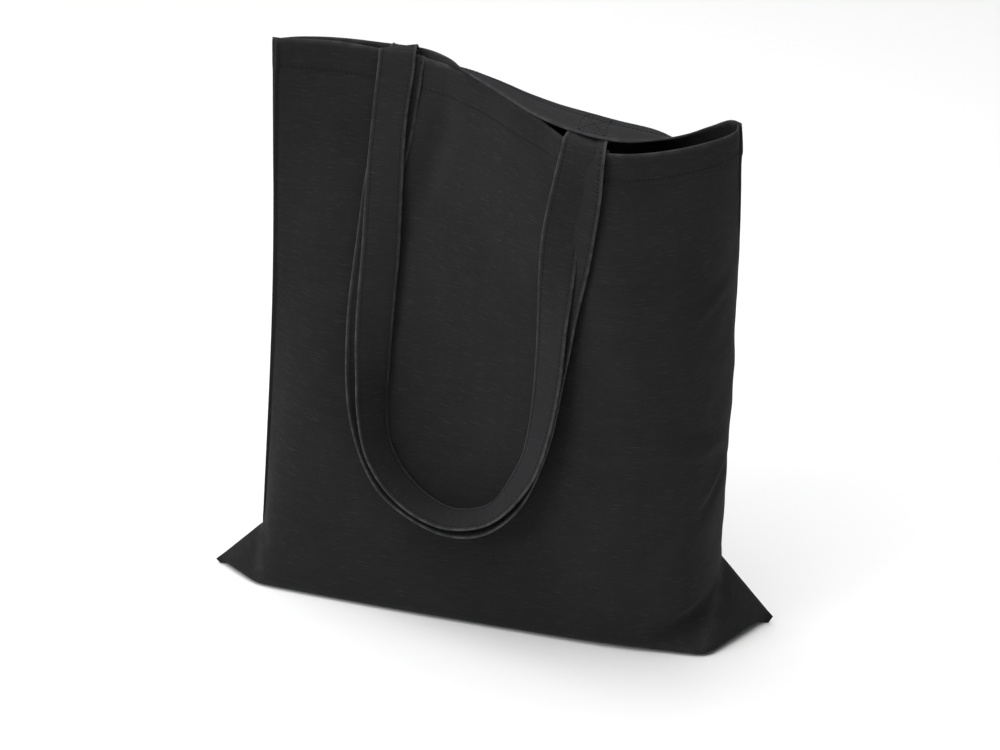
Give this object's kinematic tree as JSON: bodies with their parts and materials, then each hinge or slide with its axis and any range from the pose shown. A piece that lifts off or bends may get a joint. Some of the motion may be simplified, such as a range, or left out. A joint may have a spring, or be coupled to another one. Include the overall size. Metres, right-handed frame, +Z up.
{
  "type": "canvas tote bag",
  "caption": "Soft open-topped cotton tote bag with long shoulder handles hung over its front, and bottom corners that poke out as ears.",
  "frame": {"origin": "on the floor under the base, half way between the two side seams, on the line of the bottom seam", "axes": "+X to the right as seen from the front, +Y towards the back, +Z up"},
  "size_m": [0.378, 0.1338, 0.385],
  "materials": {
    "canvas": "matt near-black cotton canvas in a fine plain weave",
    "strap_webbing": "folded and edge-stitched strip of the same near-black canvas",
    "overlocked_edge": "near-black overlocked cloth edges",
    "thread": "near-black sewing thread with a slight sheen"
  },
  "bodies": {
    "bag": {"front_panel": "canvas", "back_panel": "canvas", "left_side_seam": "overlocked_edge", "right_side_seam": "overlocked_edge", "bottom_seam": "overlocked_edge", "front_handle_left_end": "strap_webbing", "front_handle_right_end": "strap_webbing", "back_handle_left_end": "strap_webbing", "back_handle_right_end": "strap_webbing", "front_left_box_stitch": "thread", "front_right_box_stitch": "thread", "back_left_box_stitch": "thread", "back_right_box_stitch": "thread", "front_hem_stitching": "thread", "back_hem_stitching": "thread"},
    "front_handle_loop": {"front_handle": "strap_webbing", "front_handle_stitching": "thread"},
    "back_handle_loop": {"back_handle": "strap_webbing", "back_handle_stitching": "thread"}
  },
  "joints": [
    {"name": "back_handle_swing", "type": "hinge", "parent": "bag", "child": "back_handle_loop", "pos_m": [-0.0061, -0.02458, 0.3801], "axis": [-0.831, 0.5563, 0], "range_deg": [0, 180]},
    {"name": "front_handle_swing", "type": "hinge", "parent": "bag", "child": "front_handle_loop", "pos_m": [-0.0061, -0.02458, 0.3801], "axis": [-0.831, 0.5563, 0], "range_deg": [0, 180]}
  ],
  "couplings": [
    {"joint": "front_handle_swing", "follows": "back_handle_swing", "ratio": 1}
  ]
}
